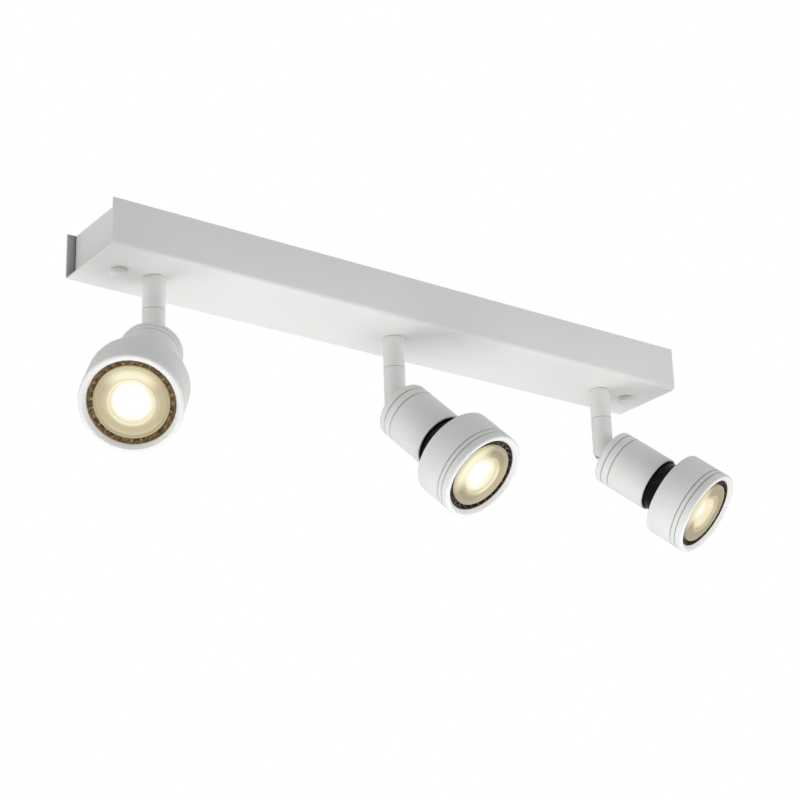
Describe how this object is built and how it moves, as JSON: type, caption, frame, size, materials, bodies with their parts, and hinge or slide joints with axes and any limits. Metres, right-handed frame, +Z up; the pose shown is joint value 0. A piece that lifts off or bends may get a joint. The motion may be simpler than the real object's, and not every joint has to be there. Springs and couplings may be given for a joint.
{
  "type": "track lighting fixture",
  "caption": "Ceiling spotlight bar with swivelling, tilting spot heads on short stems, each a small lamp cup with a separate wide front ring.",
  "frame": {"origin": "middle of the ceiling face of the mounting bracket", "axes": "+X along the bar to the right, +Y to the back, +Z up into the ceiling"},
  "size_m": [0.4924, 0.1116, 0.1617],
  "materials": {
    "white_paint": "fine matt powder coat",
    "ring_white": "fine matt powder coat",
    "zinc_steel": "bright zinc plate",
    "spring_steel": "hardened spring steel",
    "brass": "turned brass",
    "tinned_copper": "tinned",
    "white_plastic": "moulded",
    "black_plastic": "moulded",
    "ceramic": "unglazed ceramic",
    "lamp_black": "satin black coat",
    "led_board": "solder-masked board",
    "lens_plastic": "clear moulded lens, lit warm",
    "brown_insulation": "smooth insulation",
    "blue_insulation": "smooth insulation",
    "green_yellow_insulation": "striped insulation"
  },
  "bodies": {
    "bar": {"bar_cover": "white_paint", "block_screws": "zinc_steel", "bracket_studs": "zinc_steel", "cable_bush": "black_plastic", "cap_nuts": "white_paint", "disc_springs": "spring_steel", "earth_lug": "tinned_copper", "earth_screw": "zinc_steel", "earth_wires": "green_yellow_insulation", "end_plate_left": "white_paint", "end_plate_right": "white_paint", "live_wires": "brown_insulation", "mounting_bracket": "zinc_steel", "neutral_wires": "blue_insulation", "stem_left": "white_paint", "stem_middle": "white_paint", "stem_right": "white_paint", "stop_pins": "spring_steel", "swivel_bolts": "zinc_steel", "swivel_nuts": "zinc_steel", "swivel_washers": "zinc_steel", "terminal_block": "white_plastic", "terminal_clamps": "brass", "terminal_screws": "zinc_steel"},
    "swivel_left": {"knuckle_left": "white_paint", "tilt_screw_left": "zinc_steel"},
    "head_left": {"cup_left": "white_paint", "lampholder_left": "ceramic", "holder_screws_left": "zinc_steel"},
    "lamp_left": {"lamp_base_left": "black_plastic", "lamp_pins_left": "tinned_copper", "lamp_body_left": "lamp_black", "led_board_left": "led_board", "lamp_lens_left": "lens_plastic", "front_ring_left": "ring_white", "ring_clips_left": "spring_steel"},
    "swivel_middle": {"knuckle_middle": "white_paint", "tilt_screw_middle": "zinc_steel"},
    "head_middle": {"cup_middle": "white_paint", "lampholder_middle": "ceramic", "holder_screws_middle": "zinc_steel"},
    "lamp_middle": {"lamp_base_middle": "black_plastic", "lamp_pins_middle": "tinned_copper", "lamp_body_middle": "lamp_black", "led_board_middle": "led_board", "lamp_lens_middle": "lens_plastic", "front_ring_middle": "ring_white", "ring_clips_middle": "spring_steel"},
    "swivel_right": {"knuckle_right": "white_paint", "tilt_screw_right": "zinc_steel"},
    "head_right": {"cup_right": "white_paint", "lampholder_right": "ceramic", "holder_screws_right": "zinc_steel"},
    "lamp_right": {"lamp_base_right": "black_plastic", "lamp_pins_right": "tinned_copper", "lamp_body_right": "lamp_black", "led_board_right": "led_board", "lamp_lens_right": "lens_plastic", "front_ring_right": "ring_white", "ring_clips_right": "spring_steel"}
  },
  "joints": [
    {"name": "pan_left", "type": "hinge", "parent": "bar", "child": "swivel_left", "pos_m": [-0.18, 0, -0.0529], "axis": [0, 0, 1], "range_deg": [-129.7, 208.3]},
    {"name": "tilt_left", "type": "hinge", "parent": "swivel_left", "child": "head_left", "pos_m": [-0.18, 0, -0.0767], "axis": [-0.7738, 0.6334, 0], "range_deg": [-46.6, 43.4]},
    {"name": "twist_left", "type": "hinge", "parent": "head_left", "child": "lamp_left", "pos_m": [-0.18, 0, -0.0767], "axis": [-0.4602, -0.5623, -0.6871], "range_deg": [0, 30]},
    {"name": "pan_middle", "type": "hinge", "parent": "bar", "child": "swivel_middle", "pos_m": [0, 0, -0.0529], "axis": [0, 0, 1], "range_deg": [-191.6, 146.4]},
    {"name": "tilt_middle", "type": "hinge", "parent": "swivel_middle", "child": "head_middle", "pos_m": [0, 0, -0.0767], "axis": [-0.9232, -0.3843, 0], "range_deg": [-44.5, 45.5]},
    {"name": "twist_middle", "type": "hinge", "parent": "head_middle", "child": "lamp_middle", "pos_m": [0, 0, -0.0767], "axis": [0.2694, -0.6471, -0.7133], "range_deg": [0, 30]},
    {"name": "pan_right", "type": "hinge", "parent": "bar", "child": "swivel_right", "pos_m": [0.18, 0, -0.0529], "axis": [0, 0, 1], "range_deg": [-201.7, 136.3]},
    {"name": "tilt_right", "type": "hinge", "parent": "swivel_right", "child": "head_right", "pos_m": [0.18, 0, -0.0767], "axis": [-0.8415, -0.5402, 0], "range_deg": [-50.6, 39.4]},
    {"name": "twist_right", "type": "hinge", "parent": "head_right", "child": "lamp_right", "pos_m": [0.18, 0, -0.0767], "axis": [0.4175, -0.6503, -0.6347], "range_deg": [0, 30]}
  ]
}
